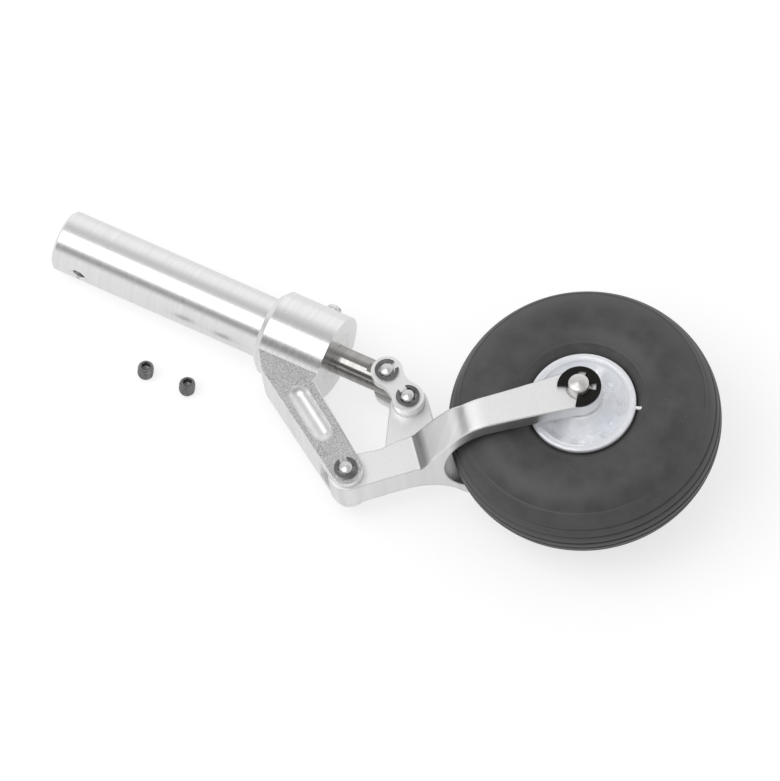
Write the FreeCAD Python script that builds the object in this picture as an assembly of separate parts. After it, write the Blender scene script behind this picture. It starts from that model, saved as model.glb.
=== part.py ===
# Trailing-link landing gear strut for a large model aircraft, in millimetres.
# Origin: centre of the socket's mouth at the mount end of the strut tube.
# +X runs along the tube towards the wheel, +Z along every pivot pin and the axle,
# and the trailing arm hangs on the -Y side of the tube.
import FreeCAD, Part
import math
import os
from FreeCAD import Placement, Rotation, Vector

# ---- fits, as radial or face gaps ----
press_gap = 0.01        # a pin or bush pressed into its hole
running_gap = 0.05      # a shaft that turns or slides in its bore
side_gap = 0.1          # between the faces of two pieces that swing past each other
clip_gap = 0.05         # between a clip and the face that it retains
open_pivot_gap = 0.4    # extra play of the link on the lug pin

# ---- strut tube ----
tube_d = 15.0
tube_length = 70.0
socket_d = 8.0
socket_depth = 20.0
chamber_d = 10.0        # spring chamber, bored from the yoke's end
web_thickness = 3.0     # wall left between socket and chamber
tube_chamfer = 0.6
set_screw_x = 7.3       # place of the two set-screw holes along the tube
thread_d = 4.0          # M4 set screws throughout
tap_d = 3.3             # their tapping hole
countersink_d = 5.0

# ---- yoke: a boss on the tube with a two-plate fork below it ----
boss_d = 21.0
boss_length = 17.7
bush_flange_length = 3.7        # the boss reaches this far past the tube
boss_end = tube_length + bush_flange_length
boss_start = boss_end - boss_length
boss_chamfer = 1.7
edge_break = 0.25        # small bevel along the milled edges of the fork plate and the arm
fork_half = 6.5         # half the thickness over both fork plates
fork_end_r = 4.0
fork_front = (boss_end - 16.0, -8.6)        # where the front edge leaves the boss
fork_shoulder = (boss_end - 13.0, -13.0)    # where it turns down towards the pivot
fork_turn_r = 5.0       # rounding of that turn
fork_rear = (boss_end, -10.2)   # where the rear edge leaves the boss face
slot_reach = 5.9        # depth of the fork's slot from the pivot
pocket_start = (boss_end - 1.7, -15.0)      # ball-milled pocket in each plate
pocket_end = (boss_end + 8.0, -21.2)
pocket_r = 2.9
pocket_depth = 1.6
clamp_screw_x = boss_end - 6.4
clamp_screw_length = 4.5

# ---- piston rod, its bush and its spring ----
rod_d = 7.0
rod_flats = 6.6         # thickness across the flats of the rod's eye
flats_length = 5.2      # of the flats, from the link pin towards the tube
bush_flange_d = 13.0
bush_spigot = 10.0
piston_length = 4.0
piston_land_d = 5.0     # neck of the rod that carries the piston
wire_d = 1.1
spring_turns = 6.0
seat_thickness = 1.5

# ---- pivots, as (x, y) ----
rod_pivot = (boss_end + 14.3, 0.0)
lug_pivot = (boss_end + 22.1, -3.95)
arm_pivot = (boss_end + 17.9, -27.5)
axle_centre = (boss_end + 61.6, 11.0)
pin_d = 3.2
pin_groove_d = 2.4
pin_overhang = 0.7      # pin beyond its clip
pin_chamfer = 0.6
clip_thickness = 0.6
clip_d = 5.7

# ---- link plates ----
link_end_r = 3.85
link_waist = 2.75
link_thickness = 2.4

# ---- trailing arm, described along the line from its pivot to the axle ----
arm_half = 4.1          # half thickness of the block
arm_end_r = 4.6
axle_end_r = 5.1
arm_waist = 3.8         # half width between the two ends
leg_outer = 18.0        # outer face of each fork leg
leg_inner = 13.4        # inner face of each fork leg
crotch = 23.0           # bottom of the wheel's gap, from the arm pivot
crotch_length = 12.0    # length of the elliptical run-out of that gap
top_rise = (1.4, 12.0, 48.5, 35.2)      # inner radius, outer radius, slope, end
bottom_rise = (15.0, 12.0, 58.0, 36.0)
lug_half = 2.2          # half thickness of the lug's web
lug_end_r = 4.5
lug_root = (10.0, 23.4) # stretch of the arm that the lug grows from
root_swell = (8.0, 30.0, 1.7)   # bulge of the arm's back edge under the lug
bush_d = 5.0            # pivot bush in the arm

# ---- axle ----
axle_d = 6.0
axle_groove_d = 4.8
axle_overhang = 2.4
axle_chamfer = 0.5
axle_clip_thickness = 0.8
axle_clip_d = 10.6
washer_d = 10.0
washer_thickness = 0.5

# ---- wheel ----
tyre_r = 32.7
tyre_half = 12.1        # at the bulge of the sidewalls
bulge_r = 21.0
shoulder_r = 30.5
shoulder_half = 8.0
tyre_wall = 3.4
groove_pitch = 2.6      # ribs of the tread, counted out from the middle
groove_count = 2        # grooves on each side of the middle one
groove_width = 0.6
groove_depth = 0.45
rim_r = 12.0            # barrel that the tyre's beads sit on
bead_half = 9.1
flange_r = 13.0
flange_thickness = 1.1
rim_inner_r = 10.9
rim_step = 0.5
hub_boss_r = 5.6
hub_cone_r = 7.4        # foot of the boss's cone
hub_web_half = 6.6
rib_count = 6
rib_width = 1.4
rib_half = 7.5
hub_bush_d = 8.0
hub_bush_half = 12.6
gate_angle = 20.0       # moulding nib on the flange, about the axle from +X
gate_length = 1.7
gate_d = 0.9

# ---- loose set screws beside the strut ----
loose_screws = ((31.8, -20.3), (42.5, -19.4))
set_screw_length = 4.0
socket_flats = 2.0
screw_chamfer = 0.5

UP = Vector(0, 0, 1)
ALONG = Vector(1, 0, 0)
arm_length = math.dist(arm_pivot, axle_centre)
arm_angle = math.degrees(math.atan2(axle_centre[1] - arm_pivot[1], axle_centre[0] - arm_pivot[0]))


# ---------------------------------------------------------------- helpers
def fused(shapes):
    """One clean solid from several that touch."""
    shapes = list(shapes)
    return shapes[0].multiFuse(shapes[1:]).removeSplitter()


def rod_x(diameter, start, end):
    """Cylinder on the tube's axis."""
    return Part.makeCylinder(diameter / 2, end - start, Vector(start, 0, 0), ALONG)


def rod_z(centre, diameter, low, high):
    """Cylinder parallel to the pins."""
    return Part.makeCylinder(diameter / 2, high - low, Vector(centre[0], centre[1], low), UP)


def turned(points):
    """Solid of revolution about Z from (radius, height) points or edges."""
    wire = Part.makePolygon([Vector(r, 0, z) for r, z in points + points[:1]])
    return Part.Face(wire).revolve(Vector(0, 0, 0), UP, 360)


def at(shape, centre):
    """Move a shape from the Z axis to the axis through centre."""
    return shape.translated(Vector(centre[0], centre[1], 0))


def both_sides(shape):
    """The shape and its mirror image across the strut's middle plane."""
    return [shape, shape.mirror(Vector(0, 0, 0), UP)]


def slab(wire, low, high):
    """Flat wire in the XY plane, made a plate between two heights."""
    face = Part.Face(wire)
    face.translate(Vector(0, 0, low))
    return face.extrude(Vector(0, 0, high - low))


def tangent_point(point, centre, radius, side):
    """Where a line from point touches a circle; side is +1 (left) or -1 (right)."""
    dx, dy = point[0] - centre[0], point[1] - centre[1]
    reach = math.hypot(dx, dy)
    turn = math.atan2(dy, dx) + side * math.acos(radius / reach)
    return (centre[0] + radius * math.cos(turn), centre[1] + radius * math.sin(turn))


def waisted(length, r1, r2, waist):
    """Closed outline of two round ends, on the X axis, joined by two long hollow arcs."""
    mid = (length ** 2 + (r1 - r2) * (r1 + r2)) / (2 * length)
    lean = (r1 - r2) / length
    a = lean ** 2
    b = 2 * mid * lean - 2 * (r1 - waist)
    c = mid ** 2 - (r1 - waist) * (r1 + waist)
    hollow = -c / b if abs(a) < 1e-12 else (-b - math.sqrt(b * b - 4 * a * c)) / (2 * a)
    if hollow < 0:
        hollow = (-b + math.sqrt(b * b - 4 * a * c)) / (2 * a)
    centre = Vector(mid + lean * hollow, waist + hollow, 0)
    ends = Vector(0, 0, 0), Vector(length, 0, 0)
    touch1 = ends[0] + (centre - ends[0]) * (r1 / (r1 + hollow))
    touch2 = ends[1] + (centre - ends[1]) * (r2 / (r2 + hollow))
    dip = centre - Vector(0, hollow, 0)

    def flip(v):
        return Vector(v.x, -v.y, 0)
    edges = [Part.Arc(touch1, dip, touch2).toShape(),
             Part.Arc(touch2, Vector(length + r2, 0, 0), flip(touch2)).toShape(),
             Part.Arc(flip(touch2), flip(dip), flip(touch1)).toShape(),
             Part.Arc(flip(touch1), Vector(-r1, 0, 0), touch1).toShape()]
    return Part.Wire(edges)


def e_clip(outer_d, shaft_groove_d, thickness, mouth_turn):
    """Retaining clip round the Z axis: a ring with three prongs and an open mouth."""
    outer, seat = outer_d / 2, shaft_groove_d / 2 + press_gap
    relief = (outer + seat) / 2
    ring = Part.makeCylinder(outer, thickness).cut(Part.makeCylinder(relief, thickness))
    prong_width = seat * 0.8
    prongs = []
    for turn in (70, 180, -70):
        bar = Part.makeBox(relief, prong_width, thickness, Vector(0, -prong_width / 2, 0))
        bar.rotate(Vector(0, 0, 0), UP, turn)
        prongs.append(bar)
    clip = fused([ring] + prongs).cut(Part.makeCylinder(seat, thickness))
    mouth = Part.makeBox(outer, seat * 1.5, thickness, Vector(0, -seat * 0.75, 0))
    clip = clip.cut(mouth)
    clip.rotate(Vector(0, 0, 0), UP, mouth_turn)
    return clip


def grooved_pin(diameter, groove_d, half, clip_low, clip_high, chamfer):
    """Pin along Z with chamfered ends and a clip groove near each end."""
    r, g = diameter / 2, groove_d / 2
    upper = [(g, clip_low), (g, clip_high), (r, clip_high), (r, half - chamfer),
             (r - chamfer, half), (0, half)]
    profile = [(0, -half), (r - chamfer, -half), (r, -half + chamfer), (r, -clip_high),
               (g, -clip_high), (g, -clip_low), (r, -clip_low), (r, clip_low)] + upper
    return turned(profile)


def pin_and_clips(centre, face, diameter, groove_d, overhang, chamfer, clip_size, mouth_turn):
    """A pin that ends beyond two clips, which lie on the faces at +-face."""
    outer_d, thickness = clip_size
    low = face + clip_gap
    high = low + thickness
    pin = grooved_pin(diameter, groove_d, high + overhang, low - clip_gap / 2,
                      high + clip_gap / 2, chamfer)
    clip = e_clip(outer_d, groove_d, thickness, mouth_turn)
    clip.translate(Vector(0, 0, low))
    clips = Part.makeCompound(both_sides(clip))
    return at(pin, centre), at(clips, centre)


def set_screw(length):
    """Headless M4 screw along Z from its cup point at 0 to its hex socket on top."""
    r = thread_d / 2 - press_gap
    body = turned([(0, screw_chamfer), (r - 2 * screw_chamfer, 0), (r - screw_chamfer, 0),
                   (r, screw_chamfer), (r, length - screw_chamfer), (r - screw_chamfer, length),
                   (0, length)])
    corner = socket_flats / math.sqrt(3)
    hexagon = [Vector(corner * math.cos(math.radians(60 * k)),
                      corner * math.sin(math.radians(60 * k)), length / 2) for k in range(7)]
    return body.cut(Part.Face(Part.makePolygon(hexagon)).extrude(Vector(0, 0, length)))


def stand(shape, foot, direction):
    """Turn a shape from the Z axis to a direction and put its foot at a point."""
    placed = shape.copy()
    placed.Placement = Placement(foot, Rotation(UP, direction))
    return placed


# ---------------------------------------------------------------- strut tube
chamber_start = socket_depth + web_thickness


def make_tube():
    """Turned tube: socket for the retract's pin, web, and spring chamber."""
    tube = rod_x(tube_d, 0, tube_length)
    rims = [e for e in tube.Edges if e.Curve.TypeId == "Part::GeomCircle"]
    tube = tube.makeChamfer(tube_chamfer, rims)
    tube = tube.cut(rod_x(socket_d, 0, socket_depth))
    tube = tube.cut(rod_x(chamber_d, chamber_start, tube_length))
    for side in (1, -1):
        outward = Vector(0, side, 0)
        hole = Part.makeCylinder(tap_d / 2, tube_d / 2, Vector(set_screw_x, 0, 0), outward)
        sink = (countersink_d - tap_d) / 2
        cone = Part.makeCone(tap_d / 2, countersink_d / 2, sink,
                             Vector(set_screw_x, side * (tube_d / 2 - sink), 0), outward)
        tube = tube.cut(fused([hole, cone]))
    return tube


# ---------------------------------------------------------------- yoke
def fork_outline():
    """Side view of a fork plate, from inside the boss round the arm pivot."""
    front_touch = tangent_point(fork_shoulder, arm_pivot, fork_end_r, 1)
    rear_touch = tangent_point(fork_rear, arm_pivot, fork_end_r, -1)
    spread = math.atan2(arm_pivot[1] - boss_bottom, arm_pivot[0] - boss_end)
    tip = (arm_pivot[0] + fork_end_r * math.cos(spread), arm_pivot[1] + fork_end_r * math.sin(spread))
    flat = [Vector(x, y, 0) for x, y in
            ((fork_rear[0], 0), (fork_front[0], 0), fork_front, fork_shoulder, front_touch)]
    edges = [Part.makeLine(a, b) for a, b in zip(flat[:3], flat[1:3])]
    into, out = (flat[2] - flat[3]).normalize(), (flat[4] - flat[3]).normalize()
    half_turn = into.getAngle(out) / 2
    cut_back = fork_turn_r / math.tan(half_turn)
    inward = (into + out).normalize() * (fork_turn_r / math.sin(half_turn) - fork_turn_r)
    turn_start, turn_end = flat[3] + into * cut_back, flat[3] + out * cut_back
    edges.append(Part.makeLine(flat[2], turn_start))
    edges.append(Part.Arc(turn_start, flat[3] + inward, turn_end).toShape())
    edges.append(Part.makeLine(turn_end, flat[4]))
    edges.append(Part.Arc(flat[-1], Vector(tip[0], tip[1], 0),
                          Vector(rear_touch[0], rear_touch[1], 0)).toShape())
    edges.append(Part.makeLine(Vector(rear_touch[0], rear_touch[1], 0),
                               Vector(fork_rear[0], fork_rear[1], 0)))
    edges.append(Part.makeLine(Vector(fork_rear[0], fork_rear[1], 0), flat[0]))
    return Part.Wire(edges)


boss_bottom = -boss_d / 2


def pocket_cutter():
    """Ball-nosed groove along the middle of the near plate."""
    depth_centre = fork_half - pocket_depth + pocket_r
    start = Vector(pocket_start[0], pocket_start[1], depth_centre)
    end = Vector(pocket_end[0], pocket_end[1], depth_centre)
    run = end - start
    return fused([Part.makeSphere(pocket_r, start), Part.makeSphere(pocket_r, end),
                  Part.makeCylinder(pocket_r, run.Length, start, run)])


def make_yoke():
    boss = rod_x(boss_d, boss_start, boss_end)
    mount_rim = [e for e in boss.Edges if e.Curve.TypeId == "Part::GeomCircle"
                 and e.CenterOfMass.x < boss_start + 1]
    boss = boss.makeChamfer(boss_chamfer, mount_rim)
    plate = slab(fork_outline(), -fork_half, fork_half)
    plate = plate.makeChamfer(edge_break, [e for e in plate.Edges if abs(e.CenterOfMass.z) > fork_half - 0.01])
    yoke = fused([boss, plate])
    slot_half = arm_half + side_gap
    lean = math.degrees(math.atan2(fork_rear[1] - arm_pivot[1], fork_rear[0] - arm_pivot[0]))
    slot = Part.makeBox(slot_reach + 2 * boss_d, 2 * boss_d, 2 * slot_half,
                        Vector(-2 * boss_d, -boss_d, -slot_half))
    slot.rotate(Vector(0, 0, 0), UP, lean)
    yoke = yoke.cut(at(slot, arm_pivot).cut(rod_x(boss_d, boss_start, boss_end)))
    yoke = yoke.cut(rod_x(tube_d + 2 * press_gap, boss_start, tube_length))
    yoke = yoke.cut(rod_x(bush_flange_d + 2 * press_gap, tube_length, boss_end))
    yoke = yoke.cut(rod_z(arm_pivot, pin_d + 2 * press_gap, -fork_half, fork_half))
    for cutter in both_sides(pocket_cutter()):
        yoke = yoke.cut(cutter)
    screw_hole = Part.makeCylinder(thread_d / 2, boss_d, Vector(clamp_screw_x, 0, 0), Vector(0, 1, 0))
    return yoke.cut(screw_hole)


# ---------------------------------------------------------------- rod and spring
piston_start = tube_length - bush_spigot - piston_length


def make_rod_bush():
    flange = rod_x(bush_flange_d, tube_length, boss_end)
    spigot = rod_x(chamber_d - 2 * press_gap, tube_length - bush_spigot, tube_length)
    bore = rod_x(rod_d + 2 * running_gap, tube_length - bush_spigot, boss_end)
    return fused([flange, spigot]).cut(bore)


def make_piston():
    ring = rod_x(chamber_d - 2 * running_gap, piston_start, piston_start + piston_length)
    return ring.cut(rod_x(piston_land_d + 2 * press_gap, piston_start, piston_start + piston_length))


def make_rod():
    """Ground rod with a neck for the piston and a flatted eye for the link pin."""
    eye_end = rod_pivot[0] + rod_d / 2
    rod = fused([rod_x(piston_land_d, piston_start, piston_start + piston_length),
                 rod_x(rod_d, piston_start + piston_length, eye_end)])
    eye = slab(waisted(rod_pivot[0], rod_d / 2 + press_gap, rod_d / 2, rod_d / 2 - press_gap),
               -rod_d, rod_d)
    rod = rod.common(eye)
    for flat in both_sides(Part.makeBox(eye_end, rod_d, rod_d,
                                        Vector(rod_pivot[0] - flats_length, -rod_d / 2, rod_flats / 2))):
        rod = rod.cut(flat)
    return rod.cut(rod_z(rod_pivot, pin_d + 2 * press_gap, -rod_d, rod_d))


def make_spring():
    """Open coil spring between its seat and the piston."""
    start = chamber_start + seat_thickness
    free = piston_start - start - 2 * press_gap
    pitch = (free - wire_d) / spring_turns
    coil_r = chamber_d / 2 - running_gap * 4 - wire_d / 2
    helix = Part.makeHelix(pitch, free - wire_d, coil_r)
    section = Part.Wire(Part.makePolygon(
        [Vector(coil_r + wire_d / 2 * math.cos(math.radians(90 * k)), 0,
                wire_d / 2 * math.sin(math.radians(90 * k))) for k in range(5)]))
    coil = Part.Wire(helix.Edges).makePipeShell([section], True, True)
    coil.rotate(Vector(0, 0, 0), Vector(0, 1, 0), 90)
    return coil.translated(Vector(start + press_gap + wire_d / 2, 0, 0))


def make_spring_seat():
    return rod_x(chamber_d - 2 * running_gap, chamber_start, chamber_start + seat_thickness)


# ---------------------------------------------------------------- link
link_run = Vector(lug_pivot[0] - rod_pivot[0], lug_pivot[1] - rod_pivot[1], 0)
link_inner = rod_flats / 2 + side_gap
link_outer = link_inner + link_thickness


def make_link_plate():
    """Near plate; its hole on the lug pin is the linkage's open pivot."""
    plate = slab(waisted(link_run.Length, link_end_r, link_end_r, link_waist), link_inner, link_outer)
    plate = plate.cut(rod_z((0, 0), pin_d + 2 * running_gap, 0, link_outer))
    plate = plate.cut(rod_z((link_run.Length, 0), pin_d + 2 * open_pivot_gap, 0, link_outer))
    plate.rotate(Vector(0, 0, 0), UP, math.degrees(math.atan2(link_run.y, link_run.x)))
    return at(plate, rod_pivot)


# ---------------------------------------------------------------- trailing arm
def joggle(side, rise, far):
    """Edges of one outer face: block, hollow radius, slope, round-over, then the leg."""
    r_in, r_out, slope, end = rise
    turn = math.radians(slope)
    height = leg_outer - arm_half - (r_in + r_out) * (1 - math.cos(turn))
    run = height / math.tan(turn)
    over = Vector(end - r_out * math.sin(turn), 0, leg_outer - r_out * (1 - math.cos(turn)))
    under = over - Vector(run, 0, height)
    start = end - r_out * math.sin(turn) - run - r_in * math.sin(turn)
    half = turn / 2
    hollow = Vector(start + r_in * math.sin(half), 0, arm_half + r_in * (1 - math.cos(half)))
    crown = Vector(end - r_out * math.sin(half), 0, leg_outer - r_out * (1 - math.cos(half)))
    points = [Vector(-arm_end_r * 2, 0, arm_half), Vector(start, 0, arm_half), hollow, under,
              over, crown, Vector(end, 0, leg_outer), Vector(far, 0, leg_outer)]
    p = [Vector(v.x, 0, side * v.z) for v in points]
    return [Part.makeLine(p[0], p[1]), Part.Arc(p[1], p[2], p[3]).toShape(),
            Part.makeLine(p[3], p[4]), Part.Arc(p[4], p[5], p[6]).toShape(),
            Part.makeLine(p[6], p[7])]


def arm_side_view():
    """Outline of the forked arm seen across its width, X along the arm and Z up."""
    far = arm_length + axle_end_r * 2
    gap_end = crotch + crotch_length
    lip = Vector(gap_end, 0, leg_inner)
    floor = Vector(gap_end, 0, -leg_inner)
    root = Vector(crotch, 0, 0)
    major, minor = (lip, root) if leg_inner >= crotch_length else (root, lip)
    bend = Part.Ellipse(major, minor, Vector(gap_end, 0, 0))
    start, end = bend.parameter(lip), bend.parameter(floor)
    crotch_arc = Part.ArcOfEllipse(bend, start, end)
    middle = crotch_arc.value((crotch_arc.FirstParameter + crotch_arc.LastParameter) / 2)
    if middle.x > gap_end:
        crotch_arc = Part.ArcOfEllipse(bend, end, start)
    edges = joggle(1, top_rise, far) + joggle(-1, bottom_rise, far)
    edges += [crotch_arc.toShape(),
              Part.makeLine(Vector(far, 0, leg_outer), Vector(far, 0, leg_inner)),
              Part.makeLine(Vector(far, 0, leg_inner), lip),
              Part.makeLine(floor, Vector(far, 0, -leg_inner)),
              Part.makeLine(Vector(far, 0, -leg_inner), Vector(far, 0, -leg_outer)),
              Part.makeLine(Vector(-arm_end_r * 2, 0, -arm_half), Vector(-arm_end_r * 2, 0, arm_half))]
    return Part.Wire(Part.__sortEdges__(edges))


def lug_in_arm_axes():
    """Centre of the lug's eye, measured along and across the arm."""
    spot = Vector(lug_pivot[0] - arm_pivot[0], lug_pivot[1] - arm_pivot[1], 0)
    return Rotation(UP, -arm_angle).multVec(spot)


def make_arm():
    """Forked arm: its plan and its side view, each extruded, meet in the solid."""
    tall = 2 * leg_outer
    plan = slab(waisted(arm_length, arm_end_r, axle_end_r, arm_waist), -leg_outer, leg_outer)
    root_start, root_end, swell = root_swell
    low = Vector(root_start, 0, 0)
    chord = [Vector(root_start, arm_waist, 0), Vector((root_start + root_end) / 2, arm_waist + swell, 0),
             Vector(root_end, arm_waist, 0)]
    bulge = Part.Wire([Part.Arc(*chord).toShape(), Part.makeLine(chord[2], Vector(root_end, 0, 0)),
                       Part.makeLine(Vector(root_end, 0, 0), low), Part.makeLine(low, chord[0])])
    plan = fused([plan, slab(bulge, -leg_outer, leg_outer)])
    side = Part.Face(arm_side_view())
    side.translate(Vector(0, -tall, 0))
    blank = plan.common(side.extrude(Vector(0, 2 * tall, 0)))
    blank = blank.makeChamfer(edge_break, blank.Edges)

    eye = lug_in_arm_axes()
    foot_front, foot_rear = lug_root
    touch_front = tangent_point((foot_front, arm_waist), (eye.x, eye.y), lug_end_r, -1)
    touch_rear = tangent_point((foot_rear, arm_waist), (eye.x, eye.y), lug_end_r, 1)
    corners = [(foot_front, 0), (foot_front, arm_waist), touch_front, (eye.x, eye.y),
               touch_rear, (foot_rear, arm_waist), (foot_rear, 0), (foot_front, 0)]
    web = slab(Part.makePolygon([Vector(x, y, 0) for x, y in corners]), -lug_half, lug_half)
    web = web.cut(rod_z((crotch + crotch_length, 0), 2 * crotch_length, -lug_half, lug_half))
    end_disc = rod_z(eye, 2 * lug_end_r, -lug_half, lug_half)
    eye_boss = rod_z(eye, 2 * link_end_r, -rod_flats / 2, rod_flats / 2)
    arm = fused([blank, web, end_disc, eye_boss])

    arm = arm.cut(rod_z(eye, pin_d + 2 * press_gap, -tall, tall))
    arm = arm.cut(rod_z((0, 0), bush_d + 2 * press_gap, -tall, tall))
    arm = arm.cut(rod_z((arm_length, 0), axle_d + 2 * press_gap, -tall, tall))
    arm.rotate(Vector(0, 0, 0), UP, arm_angle)
    return at(arm, arm_pivot)


def make_arm_bush():
    bush = rod_z((0, 0), bush_d, -arm_half, arm_half)
    return at(bush.cut(rod_z((0, 0), pin_d + 2 * running_gap, -arm_half, arm_half)), arm_pivot)


def make_washers():
    washer = rod_z((0, 0), washer_d, leg_inner - washer_thickness - press_gap, leg_inner - press_gap)
    washer = washer.cut(rod_z((0, 0), axle_d + 2 * press_gap, 0, leg_inner))
    return at(Part.makeCompound(both_sides(washer)), axle_centre)


# ---------------------------------------------------------------- wheel
def make_tyre():
    """Hollow tyre of revolution with a grooved tread and beads on the rim."""
    crown = ((tyre_r - shoulder_r) ** 2 + shoulder_half ** 2) / (2 * (tyre_r - shoulder_r))

    def tread(height):
        return tyre_r - crown + math.sqrt(crown ** 2 - height ** 2)

    def arc(*points):
        return Part.Arc(*[Vector(r, 0, z) for r, z in points]).toShape()

    def line(*points):
        return Part.makeLine(*[Vector(r, 0, z) for r, z in points])
    bead_r = rim_r + press_gap
    seat = (flange_r + 0.2, bead_half)
    bulge = (bulge_r, tyre_half)
    shoulder = (shoulder_r, shoulder_half)
    upper = [arc(seat, ((seat[0] + bulge_r) / 2 - 0.6, tyre_half - 0.9), bulge),
             arc(bulge, (bulge_r + 5.6, tyre_half - 0.9), shoulder),
             line((bead_r, bead_half), seat),
             line((bead_r, bead_half - tyre_wall), (bead_r, bead_half)),
             arc((bead_r, bead_half - tyre_wall), (bulge_r, tyre_half - tyre_wall),
                 (tyre_r - tyre_wall - 2.0, 4.5))]
    edges = upper + [e.mirror(Vector(0, 0, 0), UP) for e in upper]
    edges.append(arc((tyre_r - tyre_wall - 2.0, 4.5), (tyre_r - tyre_wall, 0),
                     (tyre_r - tyre_wall - 2.0, -4.5)))
    last = (shoulder_r, -shoulder_half)
    for k in range(-groove_count, groove_count + 1):
        low, high = k * groove_pitch - groove_width / 2, k * groove_pitch + groove_width / 2
        floor = tread(k * groove_pitch) - groove_depth
        edges.append(arc(last, (tread((last[1] + low) / 2), (last[1] + low) / 2), (tread(low), low)))
        edges.append(line((tread(low), low), (floor, low)))
        edges.append(line((floor, low), (floor, high)))
        edges.append(line((floor, high), (tread(high), high)))
        last = (tread(high), high)
    edges.append(arc(last, (tread((last[1] + shoulder_half) / 2), (last[1] + shoulder_half) / 2),
                     shoulder))
    section = Part.Face(Part.Wire(Part.__sortEdges__(edges)))
    return at(section.revolve(Vector(0, 0, 0), UP, 360), axle_centre)


def make_hub():
    """Moulded hub: barrel with two flanges, a thin web, a boss and radial ribs."""
    flange_top = bead_half + flange_thickness
    half = [(hub_bush_d / 2 + press_gap, hub_bush_half - side_gap),
            (hub_boss_r, hub_bush_half - side_gap), (hub_cone_r, hub_web_half),
            (rim_inner_r - 0.6, hub_web_half), (rim_inner_r, flange_top - rim_step),
            (rim_r, flange_top - rim_step), (rim_r + 0.1, flange_top),
            (flange_r, flange_top), (flange_r, bead_half), (rim_r, bead_half)]
    below = [(r, -z) for r, z in reversed(half)]
    hub = turned(half + below)
    ribs = []
    for k in range(rib_count):
        rib = Part.makeBox(rim_inner_r - hub_boss_r, rib_width, 2 * rib_half,
                           Vector(hub_boss_r, -rib_width / 2, -rib_half))
        rib.rotate(Vector(0, 0, 0), UP, 360 / rib_count * (k + 0.5))
        ribs.append(rib)
    nib = Part.makeCylinder(gate_d / 2, gate_length + 0.5,
                            Vector(flange_r - 0.5, 0, flange_top - gate_d / 2), ALONG)
    nib.rotate(Vector(0, 0, 0), UP, gate_angle)
    return at(fused([hub] + ribs + [nib]), axle_centre)


def make_hub_bush():
    bush = rod_z((0, 0), hub_bush_d, -hub_bush_half, hub_bush_half)
    bore = rod_z((0, 0), axle_d + 2 * running_gap, -hub_bush_half, hub_bush_half)
    return at(bush.cut(bore), axle_centre)


# ---------------------------------------------------------------- loose screws
def make_loose_screws(axle_half):
    """Two set screws that stand on the surface on which the strut lies."""
    rim_contact = Vector(0, 0, -tube_d / 2)
    axle_contact = Vector(axle_centre[0], axle_centre[1], -axle_half)
    knee = Rotation(UP, arm_angle).multVec(Vector(bottom_rise[3], -arm_waist, -leg_outer))
    knee_contact = knee + Vector(arm_pivot[0], arm_pivot[1], 0)
    normal = (axle_contact - rim_contact).cross(rim_contact - knee_contact).normalize()
    if normal.z < 0:
        normal = normal * -1
    screws = []
    for x, y in loose_screws:
        drop = (normal.dot(rim_contact) - normal.x * x - normal.y * y) / normal.z
        screws.append(stand(set_screw(set_screw_length), Vector(x, y, drop), normal))
    return Part.makeCompound(screws)


# ---------------------------------------------------------------- build
clip_size = (clip_d, clip_thickness)
pivot_pin, pivot_clips = pin_and_clips(arm_pivot, fork_half, pin_d, pin_groove_d, pin_overhang,
                                       pin_chamfer, clip_size, 135)
rod_pin, rod_clips = pin_and_clips(rod_pivot, link_outer, pin_d, pin_groove_d, pin_overhang,
                                   pin_chamfer, clip_size, 60)
lug_pin, lug_clips = pin_and_clips(lug_pivot, link_outer, pin_d, pin_groove_d, pin_overhang,
                                   pin_chamfer, clip_size, 150)
axle, axle_clips = pin_and_clips(axle_centre, leg_outer, axle_d, axle_groove_d, axle_overhang,
                                 axle_chamfer, (axle_clip_d, axle_clip_thickness), 215)
axle_half = leg_outer + clip_gap + axle_clip_thickness + axle_overhang
clamp_screw = stand(set_screw(clamp_screw_length), Vector(clamp_screw_x, tube_d / 2 + press_gap, 0),
                    Vector(0, 1, 0))
near_plate, far_plate = both_sides(make_link_plate())

nodes = {
    "strut_tube": make_tube(),
    "yoke": make_yoke(),
    "yoke_clamp_screw": clamp_screw,
    "rod_bush": make_rod_bush(),
    "spring": make_spring(),
    "spring_seat": make_spring_seat(),
    "pivot_pin": pivot_pin,
    "pivot_pin_clips": pivot_clips,
    "loose_set_screws": make_loose_screws(axle_half),
    "piston_rod": make_rod(),
    "piston": make_piston(),
    "rod_pin": rod_pin,
    "rod_pin_clips": rod_clips,
    "link_plate_near": near_plate,
    "link_plate_far": far_plate,
    "trailing_arm": make_arm(),
    "arm_bush": make_arm_bush(),
    "lug_pin": lug_pin,
    "lug_pin_clips": lug_clips,
    "axle": axle,
    "axle_clips": axle_clips,
    "axle_washers": make_washers(),
    "tyre": make_tyre(),
    "hub": make_hub(),
    "hub_bush": make_hub_bush(),
}

os.makedirs("parts", exist_ok=True)
for name, shape in nodes.items():
    shape.exportStep("parts/" + name + ".step")
    print(f"{name:18s} solids {len(shape.Solids)}  valid {shape.isValid()}  {shape.Volume:9.1f} mm3")
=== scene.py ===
# %% [markdown]
# Trailing-link landing gear strut, lying on a white bench.
# The parts come ready-made in the frame. This lesson dresses them: it builds the pieces that need
# finer forms than the frame holds, gives every surface its finish, and sets up the studio.
# All sizes are in metres, in the frame's own axes: +X along the tube towards the wheel,
# +Z along the pins, and the trailing arm's pivot on the -Y side.

# %% Load the frame
import math

import bpy
import bmesh
from mathutils import Matrix, Vector


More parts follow.
